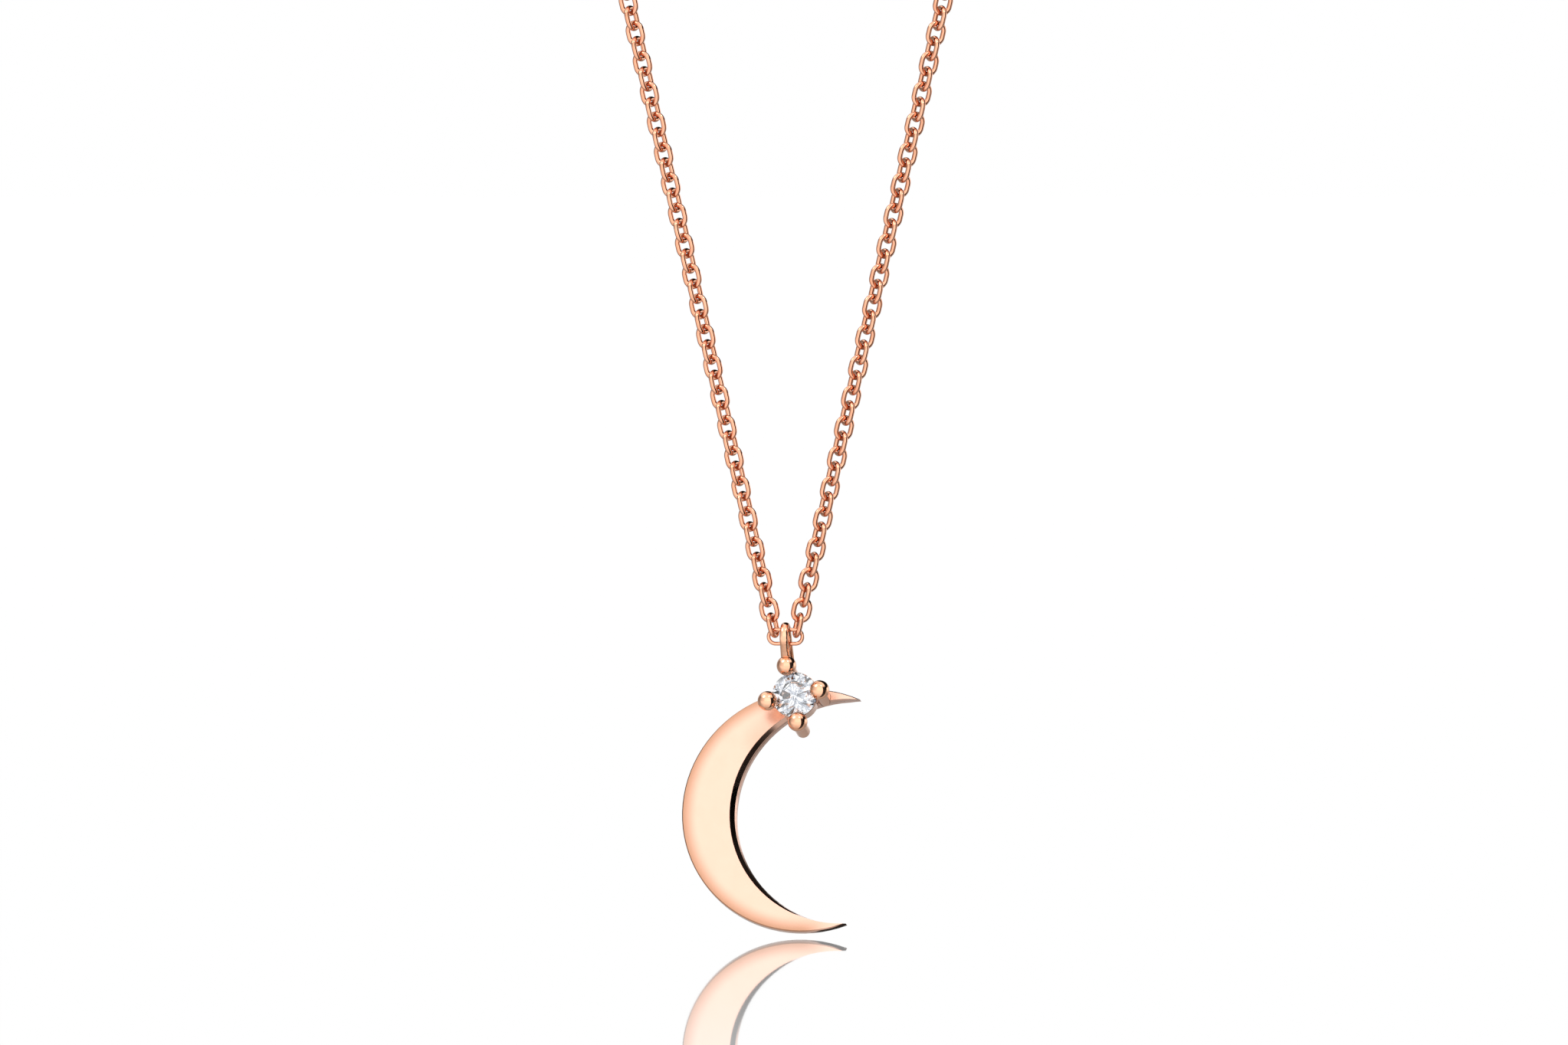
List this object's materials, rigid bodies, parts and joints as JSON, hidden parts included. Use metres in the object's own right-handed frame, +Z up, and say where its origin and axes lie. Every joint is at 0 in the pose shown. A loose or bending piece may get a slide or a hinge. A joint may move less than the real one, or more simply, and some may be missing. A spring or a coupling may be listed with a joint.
{
  "type": "pendant necklace",
  "caption": "Fine cable chain necklace hung in a long V, with a flat crescent moon pendant, a claw-set round clear stone, a drop-shaped bail and a spring ring clasp.",
  "frame": {"origin": "centre of the round rest that the top of the chain lies over, which is the centre of the chain's top arc", "axes": "+Z up, -Y towards the viewer who faces the pendant, +X to that viewer's right; the chain's V lies in the XZ plane"},
  "size_m": [0.0684, 0.006, 0.1973],
  "materials": {
    "polished_plate": "mirror-polished rose gold plating",
    "polished_setting": "mirror-polished rose gold plating",
    "clear_stone": "cut and polished clear stone",
    "chain_wire": "bright rose gold plated wire",
    "clasp_metal": "bright rose gold plating",
    "spring_steel": "drawn spring wire"
  },
  "bodies": {
    "neck_chain": {"left_neck_chain_1": "chain_wire", "left_neck_chain_2": "chain_wire", "right_neck_chain_1": "chain_wire", "right_neck_chain_2": "chain_wire", "clasp_jump_ring": "clasp_metal", "chain_jump_ring": "clasp_metal", "chain_end_ring": "clasp_metal"},
    "upper_strands": {"left_upper_strand_1": "chain_wire", "left_upper_strand_2": "chain_wire", "right_upper_strand_1": "chain_wire", "right_upper_strand_2": "chain_wire"},
    "lower_strands": {"left_lower_strand_1": "chain_wire", "left_lower_strand_2": "chain_wire", "right_lower_strand_1": "chain_wire", "right_lower_strand_2": "chain_wire"},
    "centre_link": {"centre_link": "chain_wire"},
    "pendant": {"crescent_plate": "polished_plate", "collet": "polished_setting", "prong_right": "polished_setting", "prong_top": "polished_setting", "prong_left": "polished_setting", "prong_bottom": "polished_setting", "stone": "clear_stone", "bail": "polished_setting"},
    "clasp": {"clasp_case": "clasp_metal", "clasp_eye": "clasp_metal", "clasp_spring": "spring_steel"},
    "clasp_tongue": {"clasp_tongue": "clasp_metal"}
  },
  "joints": [
    {"name": "upper_strands_swing", "type": "hinge", "parent": "neck_chain", "child": "upper_strands", "pos_m": [0, 0, -0.00784], "axis": [1, 0, 0], "range_deg": [-75, 75]},
    {"name": "lower_strands_swing", "type": "hinge", "parent": "upper_strands", "child": "lower_strands", "pos_m": [0, 0, -0.08309], "axis": [1, 0, 0], "range_deg": [-75, 75]},
    {"name": "pendant_swing", "type": "hinge", "parent": "lower_strands", "child": "centre_link", "pos_m": [0, 0, -0.14313], "axis": [1, 0, 0], "range_deg": [-30, 60]},
    {"name": "pendant_sway", "type": "hinge", "parent": "centre_link", "child": "pendant", "pos_m": [0, 0, -0.14311], "axis": [0, 1, 0], "range_deg": [-12, 12]},
    {"name": "clasp_roll", "type": "hinge", "parent": "neck_chain", "child": "clasp", "pos_m": [0.00032, 0, 0.03304], "axis": [1, 0, 0], "range_deg": [-25, 25]},
    {"name": "trigger_pull", "type": "hinge", "parent": "clasp", "child": "clasp_tongue", "pos_m": [0.00032, 0, 0.03304], "axis": [0, 0, 1], "range_deg": [0, 44], "stiffness_Nm_per_rad": 0.0012, "springref_deg": -20.05, "deforming": ["clasp_spring"]}
  ]
}
